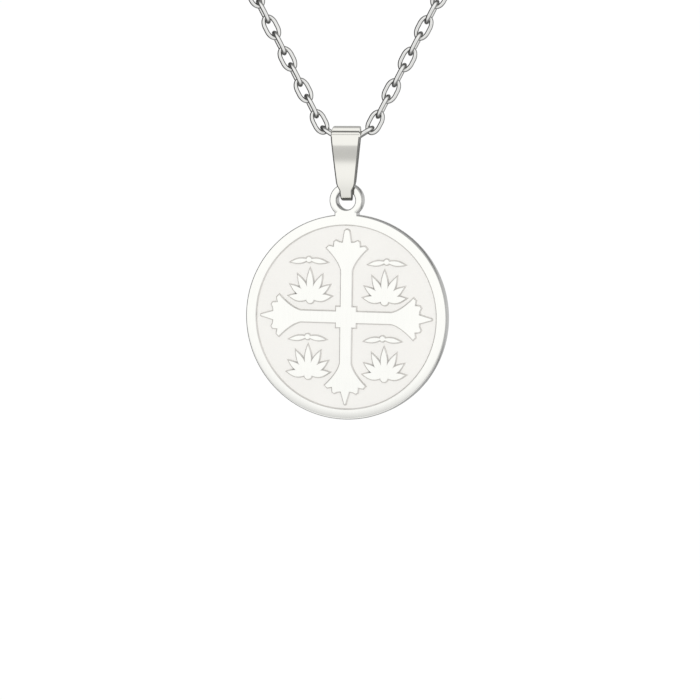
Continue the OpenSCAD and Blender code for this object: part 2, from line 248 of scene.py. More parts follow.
# Where each fan's foot and each garland's middle lies on the plate, in millimetres
FAN_FEET = ((-3.4, 1.6), (3.65, 1.5), (-3.6, -5.45), (3.6, -5.6))
GARLAND_MIDDLES = ((-3.5, 5.3), (3.85, 5.15), (-3.65, -1.85), (3.45, -1.95))
# Route of the chain's right half behind the front links, up and round to the nape, in millimetres
# Its last point is the middle of the link that hangs in the jump ring
SIDE_ROUTE = (
    (17.1, -106, -84.5), (23.5, -106, -71.5), (30.5, -104, -59.5), (37.5, -99, -48.5),
    (44, -91.5, -39), (49.5, -81, -31), (53, -70, -24), (54.5, -57, -18), (54, -44.5, -13),
    (50.5, -31.5, -8.5), (44, -20, -5.5), (34, -10, -3), (22, -3.5, -1), (8.376, 0, 0),
)


# Mesh helpers
def new_object(name, data):
    made = bpy.data.objects.new(name, data)
    bpy.context.scene.collection.objects.link(made)
    return made


def shape(name, points, faces):
    """A closed shape whose faces all look outwards."""
    mesh = bpy.data.meshes.new(name)
    mesh.from_pydata([tuple(point) for point in points], [], faces)
    turn_outwards(mesh)
    return new_object(name, mesh)


def turn_outwards(mesh):
    work = bmesh.new()
    work.from_mesh(mesh)
    bmesh.ops.recalc_face_normals(work, faces=work.faces)
    work.to_mesh(mesh)
    work.free()


def smooth(mesh, sharp_above):
    mesh.shade_smooth()
    mesh.set_sharp_from_angle(angle=radians(sharp_above))


def evenly(start, end, steps):
    """Values from the start to the end, in equal steps."""
    return [start + (end - start) * i / steps for i in range(steps + 1)]


def arc(middle, radius, start, end, steps):
    """Points of an arc in the plane, from one angle to another in degrees."""
    turns = [radians(turn) for turn in evenly(start, end, steps)]
    return [(middle[0] + radius * cos(a), middle[1] + radius * sin(a)) for a in turns]


def circle(middle, radius, sides=24):
    return arc(middle, radius, 0, 360 - 360 / sides, sides - 1)


def rounded_side(reach, low, high, edge, steps):
    """Right side of a section, from its lower to its upper height, with both corners rounded."""
    lower = arc((reach - edge, low + edge), edge, -90, 0, steps)
    return lower + arc((reach - edge, high - edge), edge, 0, 90, steps)


def lathe(profile, sides, is_ring=False):
    """Turns a profile of (radius, height) round the height axis. A ring's profile is a loop."""
    points = [(radius * cos(turn), radius * sin(turn), height)
              for radius, height in profile for turn in evenly(0, 2 * pi, sides)[:-1]]
    return points, row_faces(len(profile), sides, is_ring)


def row_faces(rows, sides, is_loop=False):
    """Faces between rows of points, each row a ring of the same length.

    The last row joins the first in a loop. Otherwise one face closes each end.
    """
    faces = []
    for i in range(rows if is_loop else rows - 1):
        here, there = i * sides, (i + 1) % rows * sides
        for k in range(sides):
            after = (k + 1) % sides
            faces.append([here + k, here + after, there + after, there + k])
    if not is_loop:
        faces.append(list(range(sides))[::-1])
        faces.append(list(range((rows - 1) * sides, rows * sides)))
    return faces


def grown(outline, by):
    """Moves a closed outline outwards by a distance, counted anticlockwise."""
    sharpest = 0.45
    moved = []
    for i, (x, y) in enumerate(outline):
        here = Vector((x, y))
        along_in = (here - Vector(outline[i - 1])).normalized()
        along_out = (Vector(outline[(i + 1) % len(outline)]) - here).normalized()
        normal = Vector((along_in.y + along_out.y, -along_in.x - along_out.x))
        miter = max(normal.length / 2, sharpest)
        normal.normalize()
        moved.append((x + normal.x * by / miter, y + normal.y * by / miter))
    return moved


def stacked(outline, levels):
    """A closed solid whose outline is grown by its own distance at each height."""
    points = []
    for height, growth in levels:
        points += [(x, y, height) for x, y in grown(outline, growth)]
    return points, row_faces(len(levels), len(outline))


def combined(base, others, operation):
    """Mesh of the base with the other shapes added or cut away. All of them are used up."""
    enlarge = Matrix.Scale(1 / MM, 4)
    tools = bpy.data.collections.new("Tools")
    bpy.context.scene.collection.children.link(tools)
    for other in others:
        bpy.context.scene.collection.objects.unlink(other)
        tools.objects.link(other)
        other.data.transform(enlarge)
    base.data.transform(enlarge)
    change = base.modifiers.new("Combine", "BOOLEAN")
    change.operation = operation
    change.operand_type = "COLLECTION"
    change.collection = tools
    change.solver = "MANIFOLD"
    mesh = plain_mesh(base)
    for used in others + [base]:
        bpy.data.meshes.remove(used.data)
    bpy.data.collections.remove(tools)
    if len(mesh.polygons) == 0:
        raise RuntimeError("the shapes could not be combined")
    mesh.transform(Matrix.Scale(MM, 4))
    return mesh


def plain_mesh(source):
    """The evaluated object as a mesh of its own."""
    graph = bpy.context.evaluated_depsgraph_get()
    return bpy.data.meshes.new_from_object(source.evaluated_get(graph), depsgraph=graph)


def finish_piece(piece, body, slot, replaced, *materials):
    for material in materials:
        piece.data.materials.append(material)
    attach(piece, body)
    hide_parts(replaced)


def to_plate(x, y, height):
    """From the plate's own plane, with height towards the viewer, to its upright place."""
    middle = plate_middle()
    return Vector((middle.x + x, middle.y - height, middle.z + y))


def plate_middle():
    return Vector((
        (plate_low.x + plate_high.x) / 2,
        (plate_low.y + plate_high.y) / 2,
        plate_low.z + (plate_high.x - plate_low.x) / 2,
    ))


# Node helpers
def set_inputs(tree, node, inputs):
    """Sets inputs of a node, each to a value or to the output of another node."""
    for socket, value in inputs.items():
        if isinstance(value, bpy.types.NodeSocket):
            tree.links.new(value, node.inputs[socket])
        else:
            node.inputs[socket].default_value = value


def add_node(tree, kind, inputs=None, **settings):
    """Makes a node, sets it and its inputs, and gives its outputs."""
    node = tree.nodes.new(kind)
    for name, value in settings.items():
        setattr(node, name, value)
    set_inputs(tree, node, inputs or {})
    return node.outputs


def math_node(tree, operation, *values):
    return add_node(tree, "ShaderNodeMath", dict(enumerate(values)), operation=operation)[0]


def node_group(name, kind, inputs, outputs):
    """An empty group with its sockets, each given as its label and its kind."""
    group = bpy.data.node_groups.new(name, kind)
    for way, sockets in (("INPUT", inputs), ("OUTPUT", outputs)):
        for label, socket in sockets.items():
            group.interface.new_socket(label, in_out=way, socket_type="NodeSocket" + socket)
    return group


def brightness_ramp(tree, place, stops):
    """Grey of a ramp at a place. Its stops are given as places from 0 to 1 and their brightness."""
    grey = add_node(tree, "ShaderNodeValToRGB", {"Fac": place})["Color"]
    elements = grey.node.color_ramp.elements
    for (at, value), element in zip((stops[0], stops[-1]), elements):
        element.position, element.color = at, (value, value, value, 1)
    for at, value in stops[1:-1]:
        elements.new(at).color = (value, value, value, 1)
    return grey


# Medallion
def plate_profile(sizes):
    """Half section of the plate, from its back over the rim down to the sunk field."""
    half, edge = sizes.thickness / 2, sizes.edge_round
    outer, inner = sizes.diameter / 2, sizes.diameter / 2 - sizes.rim_width
    support = 0.02 * MM
    profile = [(outer - edge - support, -half)]
    profile += rounded_side(outer, -half, half - sizes.rim_fall, edge, steps=6)
    rim_outer, rim_inner = outer - edge, inner + sizes.brow
    for part in evenly(0, 1, steps=10)[1:]:
        radius = rim_outer + (rim_inner - rim_outer) * part
        profile.append((radius, half - sizes.rim_fall * (1 - part) ** 2))
    profile.append((inner, half - sizes.brow))
    profile.append((inner - sizes.wall_slope, half - sizes.relief_height))
    return profile


def plate(sizes):
    return shape("plate", *lathe(plate_profile(sizes), sides=256))


def eye_middle(sizes):
    return foot_axis.z - sizes.eye_hang - plate_middle().z


def eye_ring(sizes):
    """Ring at the top of the plate, with rounded rims round its hole."""
    half = sizes.thickness / 2 - sizes.rim_fall / 2
    rim = sizes.eye_chamfer
    hole = sizes.eye_hole / 2 + rim
    profile = rounded_side(sizes.eye_diameter / 2, -half, half, sizes.edge_round, steps=5)
    profile += arc((hole, half - rim), rim, 90, 180, steps=6)
    profile += arc((hole, rim - half), rim, 180, 270, steps=6)
    points, faces = lathe(profile, sides=96, is_ring=True)
    rise = eye_middle(sizes)
    return shape("eye", [(x, y + rise, height) for x, y, height in points], faces)


def eye_neck(sizes):
    """Short neck that carries the eye, with rounded long edges."""
    half = sizes.thickness / 2 - sizes.rim_fall / 2
    top_drop, foot_drop = 1.15 * MM, 2 * MM
    section = rounded_side(sizes.neck_width / 2, -half, half, sizes.edge_round, steps=5)
    section += [(-x, height) for x, height in reversed(section)]
    points = []
    for drop in (foot_drop, top_drop):
        points += [(x, eye_middle(sizes) - drop, height) for x, height in section]
    return shape("neck", points, row_faces(2, len(section)))


def arm_half(sizes, tip_half):
    """Right half of an arm's outline, from the block at the crossing out to its spike."""
    start = Vector((sizes.shaft_half, sizes.flare_start))
    bend = Vector(FLARE_BEND) * MM
    end = Vector((sizes.flare_half, sizes.flare_end))
    points = [Vector((sizes.shaft_half, sizes.block_half))]
    for t in evenly(0, 1, steps=8):
        points.append(start * (1 - t) ** 2 + bend * 2 * t * (1 - t) + end * t ** 2)
    points += [Vector(tooth) * MM for tooth in TEETH]
    spike = arc((0, sizes.reach - tip_half), tip_half, 0, 90, steps=4)
    return points + [Vector(point) for point in spike]


def cross_outline(sizes):
    """The leaning cross, anticlockwise: four arms joined by the corners of the block."""
    outline = []
    corner = Vector((-sizes.block_half, sizes.block_half))
    for turn in (0, 90, 180, 270):
        right = arm_half(sizes, sizes.blunt_tip_half if turn == 0 else sizes.sharp_tip_half)
        left = [Vector((-p.x, p.y)) for p in reversed(right[:-1])]
        swing = Matrix.Rotation(radians(turn) - sizes.lean, 2)
        outline += [tuple(swing @ p) for p in right + left + [corner]]
    return outline


def leaf_outline(leaf_length, width, turn, root, root_offset=0):
    """A pointed leaf, anticlockwise, turned from upright and standing on its root."""
    right = [(width / 2 * sin(pi * part), leaf_length * part)
             for part in evenly(0, 1, steps=10)]
    left = [(-x, y) for x, y in reversed(right[1:-1])]
    swing = Matrix.Rotation(turn, 2)
    base = Vector(root)
    return [tuple(base + swing @ Vector((x, y + root_offset))) for x, y in right + left]


def fan_outlines(sizes, foot):
    """Outlines of a fan: the bead at its foot, the web over it, and its pointed leaves."""
    web_edge = 10
    root_offset = sizes.fan_bead / 4
    outlines = [circle(foot, sizes.fan_bead / 2),
                arc(foot, sizes.fan_web, web_edge, 180 - web_edge, steps=16)]
    for i in range(-sizes.fan_side_leaves, sizes.fan_side_leaves + 1):
        reach = sizes.fan_leaf_length - root_offset - abs(i) * sizes.fan_shorten
        outlines.append(leaf_outline(reach, sizes.fan_leaf_width, -i * sizes.fan_step, foot,
                                     root_offset))
    return outlines


def garland_outlines(sizes, middle):
    """Outlines of a garland: its bead, and the two slim leaves that spread from it."""
    outlines = [circle(middle, sizes.garland_bead / 2)]
    for side in (-1, 1):
        turn = -side * (pi / 2 + sizes.garland_droop)
        outlines.append(leaf_outline(sizes.garland_leaf_length, sizes.garland_leaf_width, turn,
                                     middle))
    return outlines


def relief_shapes(settings):
    """The raised cross and leaves as closed shapes that start a little below the field."""
    sizes = settings.medallion
    outlines = [cross_outline(settings.cross)]
    for x, y in FAN_FEET:
        outlines += fan_outlines(settings.leaves, (x * MM, y * MM))
    for x, y in GARLAND_MIDDLES:
        outlines += garland_outlines(settings.leaves, (x * MM, y * MM))
    top = sizes.thickness / 2 - sizes.rim_fall / 2
    field = sizes.thickness / 2 - sizes.relief_height
    slope, brow, root = sizes.wall_slope, sizes.brow, 0.1 * MM
    levels = ((field - root, slope), (field, slope), (top - brow, 0), (top, -brow))
    return [shape(f"relief {number}", *stacked(outline, levels))
            for number, outline in enumerate(outlines)]


def medallion_materials(steel):
    return (
        steel_material("Polished plate", steel.polished, steel.polish_roughness, PLATE_POLISH),
        steel_material("Matt field", steel.matt, steel.matt_roughness, FIELD_GRAIN),
        steel_material("Satin back", steel.satin, steel.satin_roughness, SATIN_BRUSH),
        # the relief walls and the edge line carry painted shade
        steel_material("Relief walls with painted shade", steel.wall, steel.wall_roughness, WALL_GRAIN),
        steel_material("Turned edge", steel.turned, steel.turned_roughness, EDGE_GRAIN),
        steel_material("Edge line with painted shade", steel.line, steel.line_roughness, WALL_GRAIN),
    )


def mark_medallion_faces(mesh, sizes):
    """Gives field, back, walls and edges their own materials, still in the plate's own plane. Walls
    and rounded edges get darker colours as painted shade.
    """
    half = sizes.thickness / 2
    field = half - sizes.relief_height
    inside = sizes.diameter / 2 - sizes.rim_width + sizes.brow
    near = 0.01 * MM
    steep, flat, level = 0.3, 0.9, 0.97
    matt, satin, wall, turned, line = range(1, 6)
    for face in mesh.polygons:
        height, facing = face.center.z, face.normal.z
        if abs(height - field) < near and facing > flat:
            face.material_index = matt
        elif height < near - half:
            face.material_index = satin
        elif height > field and facing < flat and hypot(face.center.x, face.center.y) < inside:
            face.material_index = wall
        elif abs(facing) < steep:
            face.material_index = turned
        elif facing < level:
            face.material_index = line


class NECKLACE_OT_medallion(Operator):
    """Make the round plate with its raised rim, sunk field, eye, cross and leaves"""
    bl_idname = "necklace.medallion"
    bl_label = "Medallion"

    def execute(self, context):
        settings = context.scene.necklace
        sizes = settings.medallion
        others = [eye_ring(sizes), eye_neck(sizes)] + relief_shapes(settings)
        mesh = combined(plate(sizes), others, "UNION")
        mesh.materials.clear()
        mark_medallion_faces(mesh, sizes)
        smooth(mesh, sharp_above=20)
        for vertex in mesh.vertices:
            vertex.co = to_plate(*vertex.co)
        piece = new_object("cross_medallion", mesh)
        finish_piece(piece, "medallion", "medallion_steel", "medallion",
                     *medallion_materials(settings.steel))
        return {"FINISHED"}


# Bail
def bail_side(sizes):
    """Side outline of the bail, with Y to the right and Z up, from its swing axis."""
    drop = bail_axis.z - foot_axis.z
    top_turn = atan(sizes.top_height / sizes.top_depth * tan(-sizes.top_pitch))
    roll = [Vector((sizes.top_depth * cos(turn), sizes.roll_rise + sizes.top_height * sin(turn)))
            for turn in evenly(pi - top_turn, top_turn, steps=30)]
    foot_turn = -sizes.foot_pitch
    foot = [Vector((sizes.foot_radius * cos(turn), sizes.foot_radius * sin(turn) - drop))
            for turn in evenly(foot_turn, -pi - foot_turn, steps=24)]
    down_from_top = Vector((sin(-sizes.top_pitch), -cos(sizes.top_pitch)))
    down_to_foot = Vector((sin(foot_turn), -cos(foot_turn)))
    back = leg_curve(roll[-1], down_from_top, foot[0], down_to_foot)
    front = [Vector((-p.x, p.y)) for p in reversed(back)]
    return roll + back + foot + front


def leg_curve(start, start_way, end, end_way):
    """Points between two ends of a smooth curve that leaves and arrives in given directions."""
    pull = (end - start).length / 3
    first, second = start + start_way * pull, end - end_way * pull
    return [start * (1 - t) ** 3 + first * 3 * t * (1 - t) ** 2
            + second * 3 * t ** 2 * (1 - t) + end * t ** 3 for t in evenly(0, 1, steps=16)[1:-1]]


def bail_half_width(sizes, height):
    """Half width of the strip at a height above the swing axis."""
    foot_edge = foot_axis.z - bail_axis.z - sizes.foot_radius
    stops = (
        (foot_edge + sizes.foot_length, sizes.foot_width / 2),
        (foot_edge + sizes.shoulder_height, sizes.shoulder_width / 2),
        (sizes.roll_rise + sizes.top_height - sizes.top_length, sizes.top_width / 2),
    )
    if height <= stops[0][0]:
        return stops[0][1]
    for (low, narrow), (high, wide) in zip(stops, stops[1:]):
        if height <= high:
            return narrow + (wide - narrow) * (height - low) / (high - low)
    return stops[-1][1]


def strip_section(sizes, half):
    """Section of the strip as distance from its middle and depth below its outer face."""
    outer, inner, support = sizes.edge_round, sizes.inner_round, 0.03 * MM
    right = [(half - outer - support, 0)]
    right += arc((half - outer, outer), outer, -90, 0, steps=5)
    right += arc((half - inner, sizes.wall - inner), inner, 0, 90, steps=3)
    return right + [(-x, depth) for x, depth in reversed(right)]


def bail_shape(sizes):
    """The tapered strip, swept round its side outline into one closed band."""
    side = bail_side(sizes)
    turn = Matrix.Rotation(sizes.turn, 3, "Z")
    points = []
    for i, middle in enumerate(side):
        along = side[(i + 1) % len(side)] - side[i - 1]
        outward = Vector((-along.y, along.x)).normalized()
        narrowing = tan(sizes.slant) * (middle.x + sizes.top_depth)
        section = strip_section(sizes, bail_half_width(sizes, middle.y) - narrowing)
        for x, depth in section:
            at = middle - outward * depth
            points.append(bail_axis + turn @ Vector((x, at.x, at.y)))
    return shape("tapered_bail", points, row_faces(len(side), len(section), is_loop=True))


def mark_bail_faces(mesh, sizes):
    """Gives the inner face, the legs' edges and the underside their own materials, whose dark
    colour is painted shade.
    """
    section = strip_section(sizes, sizes.foot_width / 2)
    edge_depth = sizes.edge_round * 0.02
    inner_depth = sizes.wall * 0.99
    underside = -0.84
    legs_top = bail_axis.z + sizes.roll_rise + sizes.top_height / 3
    painted_shade_inside, dark = 1, 2
    for number, face in enumerate(mesh.polygons):
        here = number % len(section)
        depths = section[here][1], section[(here + 1) % len(section)][1]
        if min(depths) > inner_depth:
            face.material_index = painted_shade_inside
        elif face.normal.z < underside:
            face.material_index = dark
        elif max(depths) > edge_depth and face.center.z < legs_top:
            face.material_index = dark


class NECKLACE_OT_bail(Operator):
    """Make the tapered bail, rolled round the chain and through the eye"""
    bl_idname = "necklace.bail"
    bl_label = "Bail"

    def execute(self, context):
        settings = context.scene.necklace
        sizes = settings.bail
        piece = bail_shape(sizes)
        mark_bail_faces(piece.data, sizes)
        smooth(piece.data, sharp_above=35)
        steel = settings.steel
        outside = steel_material("Polished bail", steel.bail, steel.wire_roughness, BAIL_POLISH)
        # the inside and the edges carry painted shade
        inside = steel_material("Inside with painted shade", steel.inside, steel.satin_roughness, EDGE_GRAIN)
        edge = steel_material("Edge with painted shade", steel.inside, steel.line_roughness, WALL_GRAIN)
        finish_piece(piece, "bail", "bail_steel", "bail", outside, inside, edge)
        return {"FINISHED"}


# Chain links
def link_tree():
    """Geometry nodes that put one oval link on every point, turned by the point's own rotation."""
    name = "Cable links"
    if name in bpy.data.node_groups:
        return bpy.data.node_groups[name]
    inputs = {"Geometry": "Geometry", "Bend Radius": "Float", "Half Straight": "Float",
              "Roundness": "Float", "Wire Radius": "Float", "Loop Steps": "Int",
              "Wire Sides": "Int", "Steel": "Material"}
    tree = node_group(name, "GeometryNodeTree", inputs, {"Geometry": "Geometry"})
    given = add_node(tree, "NodeGroupInput")

    loop = add_node(tree, "GeometryNodeCurvePrimitiveCircle",
                    {"Resolution": given["Loop Steps"], "Radius": given["Bend Radius"]})
    half_step = math_node(tree, "DIVIDE", pi, given["Loop Steps"])
    swing = add_node(tree, "ShaderNodeCombineXYZ", {"Z": half_step})
    turned = add_node(tree, "GeometryNodeTransform",
                      {"Geometry": loop["Curve"], "Rotation": swing[0]})

    place = add_node(tree, "GeometryNodeInputPosition")
    height = add_node(tree, "ShaderNodeSeparateXYZ", {0: place[0]})["Y"]
    straight = math_node(tree, "SIGN", height)
    bowed = math_node(tree, "DIVIDE", height, given["Bend Radius"])
    bulge = add_node(tree, "ShaderNodeMix",
                     {"Factor": given["Roundness"], "A": straight, "B": bowed})
    reach = math_node(tree, "MULTIPLY", bulge["Result"], given["Half Straight"])
    shift = add_node(tree, "ShaderNodeCombineXYZ", {"Y": reach})
    oval = add_node(tree, "GeometryNodeSetPosition",
                    {"Geometry": turned["Geometry"], "Offset": shift[0]})

    wire = add_node(tree, "GeometryNodeCurvePrimitiveCircle",
                    {"Resolution": given["Wire Sides"], "Radius": given["Wire Radius"]})
    solid = add_node(tree, "GeometryNodeCurveToMesh",
                     {"Curve": oval["Geometry"], "Profile Curve": wire["Curve"]})

    turn = add_node(tree, "GeometryNodeInputNamedAttribute", {"Name": "turn"},
                    data_type="QUATERNION")
    copies = add_node(tree, "GeometryNodeInstanceOnPoints",
                      {"Points": given["Geometry"], "Instance": solid["Mesh"],
                       "Rotation": turn["Attribute"]})
    real = add_node(tree, "GeometryNodeRealizeInstances", {"Geometry": copies["Instances"]})
    painted = add_node(tree, "GeometryNodeSetMaterial",
                       {"Geometry": real["Geometry"], "Material": given["Steel"]})
    add_node(tree, "NodeGroupOutput", {"Geometry": painted["Geometry"]})
    return tree


def chain_of(name, links, form, steel, steps, sides):
    """One mesh of separate links, each given as its middle, its way along and its facing."""
    points = bpy.data.meshes.new(name + " points")
    points.from_pydata([tuple(middle) for middle, along, facing in links], [], [])
    turns = points.attributes.new("turn", "QUATERNION", "POINT")
    for number, (middle, along, facing) in enumerate(links):
        axes = Matrix((along.cross(facing), along, facing)).transposed()
        turns.data[number].value = axes.to_quaternion()
    holder = new_object(name + " points", points)
    values = {
        "Bend Radius": (form.width - form.wire) / 2,
        "Half Straight": form.inner / 2 + form.wire - form.width / 2,
        "Roundness": form.roundness,
        "Wire Radius": (form.wire + form.swell) / 2,
        "Loop Steps": steps,
        "Wire Sides": sides,
        "Steel": steel,
    }
    maker = holder.modifiers.new("Cable links", "NODES")
    maker.node_group = link_tree()
    for socket in maker.node_group.interface.items_tree:
        if socket.in_out == "INPUT" and socket.name in values:
            maker[socket.identifier] = values[socket.name]
    mesh = plain_mesh(holder)
    holder.modifiers.clear()
    bpy.data.meshes.remove(points)
    if len(mesh.polygons) < len(links):
        raise RuntimeError(f"{name} has no links")
    turn_outwards(mesh)
    mesh.shade_smooth()
    return new_object(name, mesh)


def turned_strand(right, first, turn):
    """The mirrored strand, its links turned along themselves, every second one twice as far.

    The links count up from the lowest one, and the turn fades out behind the front links.
    """
    last_full, fade_length = 20, 40
    left = []
    for n, link in enumerate(right, first):
        middle, along, facing = (Vector((-v.x, v.y, v.z)) for v in link)
        fade = min(1, max(0, 1 - (n - last_full) / fade_length))
        swing = turn * (1 + n % 2) * fade if n > 1 else 0
        left.append((middle, along, Matrix.Rotation(swing, 3, along) @ facing))
    return left


def lean_pair(lean, is_flat):
    """Way along and facing of a link that leans to the right by an angle from upright."""
    along = Vector((sin(lean), 0, cos(lean)))
    facing = Vector((0, 1, 0)) if is_flat else Vector((cos(lean), 0, -sin(lean)))
    return along, facing


def front_chain(sizes):
    """Middle, way along and facing of the lowest link and of the right strand in front."""
    hang = bail_axis + Vector((0, 0, sizes.bail_drop))
    turn_middle = sizes.link_inner / 2 + sizes.link_wire - sizes.link_width / 2
    reach = sizes.link_inner + sizes.link_wire
    mouth, mouth_facing = lean_pair(sizes.mouth_lean, False)
    strand = lean_pair(sizes.strand_lean, True)[0]
    mouth_play = Vector((0.8, 0, 0.6)) * sizes.slack
    foot = hang + Vector((turn_middle, 0, 0)) + mouth_play
    lowest = (hang, Vector((1, 0, 0)), Vector((0, 1, 0)))
    right = [(foot + mouth * reach / 2, mouth, mouth_facing)]
    first = foot + mouth * reach + strand * (sizes.slack + turn_middle)
    for n in range(2, sizes.front_links + 1):
        along, facing = lean_pair(sizes.strand_lean, n % 2 == 0)
        right.append((first + strand * (n - 2) * sizes.link_pitch, along, facing))
    return lowest, right


def smooth_route(points, steps):
    """A smooth curve through the points, as a list of closely spaced places."""
    padded = [points[0] * 2 - points[1]] + points + [points[-1] * 2 - points[-2]]
    places = []
    for i in range(1, len(points)):
        a, b, c, d = padded[i - 1:i + 3]
        for t in evenly(0, 1, steps)[:-1]:
            places.append(0.5 * (2 * b + (c - a) * t + (2 * a - 5 * b + 4 * c - d) * t * t
                                 + (3 * b - a - 3 * c + d) * t ** 3))
    return places + [points[-1]]


def even_places(places, number):
    """Places at equal distances along a route, without its first one."""
    marks = [0]
    for a, b in zip(places, places[1:]):
        marks.append(marks[-1] + (b - a).length)
    found, i = [], 0
    for n in range(1, number + 1):
        goal = marks[-1] * n / number
        while i < len(marks) - 2 and marks[i + 1] < goal:
            i += 1
        part = (goal - marks[i]) / (marks[i + 1] - marks[i])
        found.append(places[i].lerp(places[i + 1], part))
    return found


def side_chain(sizes):
    """Links of the right side, from the front strand up and round to the jump ring."""
    start = front_chain(sizes)[1][-1]
    route = [start[0]] + [Vector(point) * MM for point in SIDE_ROUTE]
    middles = even_places(smooth_route(route, steps=40), sizes.side_links)
    ways, facings = [], []
    facing = start[2]
    for n, middle in enumerate(middles):
        before = middles[n - 1] if n else start[0]
        after = middles[n + 1] if n + 1 < len(middles) else middle * 2 - before
        along = (after - before).normalized()
        facing = (facing - along * facing.dot(along)).normalized()
        ways.append(along)
        facings.append(facing)
    # a slow twist turns the last link upright, across the flat jump ring
    across = facings[-1].cross(ways[-1])
    upright = Vector((0, 1, 0))
    twist = atan2(across.dot(upright), facings[-1].dot(upright))
    twist = (twist + pi / 2) % pi - pi / 2
    links = []
    for n, (middle, along, facing) in enumerate(zip(middles, ways, facings)):
        quarter = pi / 2 if n % 2 == 0 else 0
        turn = Matrix.Rotation(-twist * (n + 1) / len(middles) + quarter, 3, along)
        links.append((middle, along, turn @ facing))
    return links


LinkForm = namedtuple("LinkForm", "inner width wire swell roundness")


def cable_link(sizes):
    return LinkForm(sizes.link_inner, sizes.link_width, sizes.link_wire, sizes.wire_swell,
                    sizes.roundness)


def wire_steel(steel):
    name = "Polished wire"
    made = bpy.data.materials.get(name)
    # the wire steel's colour carries a painted reflection across each wire
    return made or steel_material(name, steel.wire, steel.wire_roughness, WIRE_POLISH, WIRE_PAINTED_REFLECTION)


class NECKLACE_OT_front_chain(Operator):
    """Make the lowest link and the interlocked links of both strands in front"""
    bl_idname = "necklace.front_chain"
    bl_label = "Front chain"

    def execute(self, context):
        settings = context.scene.necklace
        sizes = settings.chain
        lowest, right = front_chain(sizes)
        links = [lowest] + right + turned_strand(right, 1, sizes.strand_turn)
        piece = chain_of("front_links", links, cable_link(sizes), wire_steel(settings.steel),
                         steps=32, sides=12)
        finish_piece(piece, "chain", "chain_steel", "chain_front")
        return {"FINISHED"}


class NECKLACE_OT_side_chain(Operator):
    """Make the links of both sides, up and round to the jump rings at the nape"""
    bl_idname = "necklace.side_chain"
    bl_label = "Side chain"

    def execute(self, context):
        settings = context.scene.necklace
        sizes = settings.chain
        right = side_chain(sizes)
        links = right + turned_strand(right, sizes.front_links + 1, sizes.strand_turn)
        piece = chain_of("side_links", links, cable_link(sizes), wire_steel(settings.steel),
                         steps=12, sides=6)
        finish_piece(piece, "chain", "chain_steel", "chain_sides")
        return {"FINISHED"}


class NECKLACE_OT_extender(Operator):
    """Make the hanging row of larger links behind the left jump ring"""
    bl_idname = "necklace.extender"
    bl_label = "Extender"

    def execute(self, context):
        settings = context.scene.necklace
        sizes = settings.fittings
        hold_x = -(ring_low.x + ring_high.x) / 2 - sizes.extender_offset
        hold_y = sqrt(ring_radius(sizes) ** 2 - sizes.extender_offset ** 2)
        first_z = sizes.ring_wire / 2 + sizes.link_gap - sizes.extender_inner / 2
        pitch = sizes.extender_inner - sizes.link_gap
        links = []
        for n in range(sizes.extender_links):
            facing = Vector((1, 0, 0)) if n % 2 == 0 else Vector((0, 1, 0))
            links.append((Vector((hold_x, hold_y, first_z - n * pitch)), Vector((0, 0, 1)), facing))
        form = LinkForm(sizes.extender_inner, sizes.extender_width, sizes.extender_wire,
                        swell=0, roundness=0)
        piece = chain_of("extender_links", links, form, wire_steel(settings.steel),
                         steps=24, sides=10)
        finish_piece(piece, "chain", "extender_steel", "extender")
        return {"FINISHED"}


# Jump rings and clasp
def ring_radius(sizes):
    """Radius of a jump ring's middle line."""
    return (ring_high.y - ring_low.y - sizes.ring_wire) / 2


def cut_ring(name, middle, radius, wire, cut):
    """A ring of round wire that lies flat, with a fine cut at its back where it was closed."""
    turns, sides = 64, 16
    half_cut = asin(cut / 2 / radius)
    dome = 0.06 * MM
    points = []
    rows = [(-1, wire / 2 - dome)]
    rows += [(i, wire / 2) for i in range(turns + 1)]
    rows += [(turns + 1, wire / 2 - dome)]
    for row, thickness in rows:
        step = min(max(row, 0), turns)
        ease = dome / radius if row in (0, turns) else 0
        turn = pi / 2 + half_cut + (2 * pi - 2 * half_cut) * step / turns
        turn += ease if row == 0 else -ease
        for roll in evenly(0, 2 * pi, sides)[:-1]:
            out = radius + thickness * cos(roll)
            place = Vector((out * cos(turn), out * sin(turn), thickness * sin(roll)))
            points.append(middle + place)
    return shape(name, points, row_faces(len(rows), sides))


class NECKLACE_OT_rings(Operator):
    """Make the two jump rings that join the chain to the clasp"""
    bl_idname = "necklace.rings"
    bl_label = "Jump rings"

    def execute(self, context):
        settings = context.scene.necklace
        sizes = settings.fittings
        for side, name in ((-1, "left"), (1, "right")):
            middle = Vector((side * (ring_low.x + ring_high.x) / 2, 0, 0))
            piece = cut_ring(f"jump_ring_{name}", middle, ring_radius(sizes), sizes.ring_wire,
                             sizes.ring_cut)
            smooth(piece.data, sharp_above=40)
            finish_piece(piece, "chain", "ring_steel", f"ring_{name}", wire_steel(settings.steel))
        return {"FINISHED"}


def clasp_outline(sizes):
    """Outline of two circles and the straight lines that touch both, anticlockwise."""
    hook, eye = sizes.hook_diameter / 2, sizes.eye_diameter / 2
    hook_x, eye_x = clasp_low.x + hook, clasp_high.x - eye
    lean = 90 - degrees(asin((hook - eye) / (eye_x - hook_x)))
    outline = arc((eye_x, 0), eye, -lean, lean, steps=32)
    return outline + arc((hook_x, 0), hook, lean, 360 - lean, steps=48)


def opening(radius, x, half, edge):
    """A cutting shape for a round hole whose rims come out rounded."""
    over = 0.2 * MM
    middle = radius + edge
    profile = [(middle + over, -half - over), (middle, -half)]
    profile += arc((middle, edge - half), edge, 270, 180, steps=5)[1:]
    profile += arc((middle, half - edge), edge, 180, 90, steps=5)
    profile += [(middle + over, half + over)]
    points, faces = lathe(profile, sides=64)
    return shape("opening", [(px + x, py, height) for px, py, height in points], faces)


def clasp_levels(half, edge):
    """Heights and growths that round the clasp's outer edges."""
    return [(height, growth) for growth, height in rounded_side(0, -half, half, edge, steps=5)]


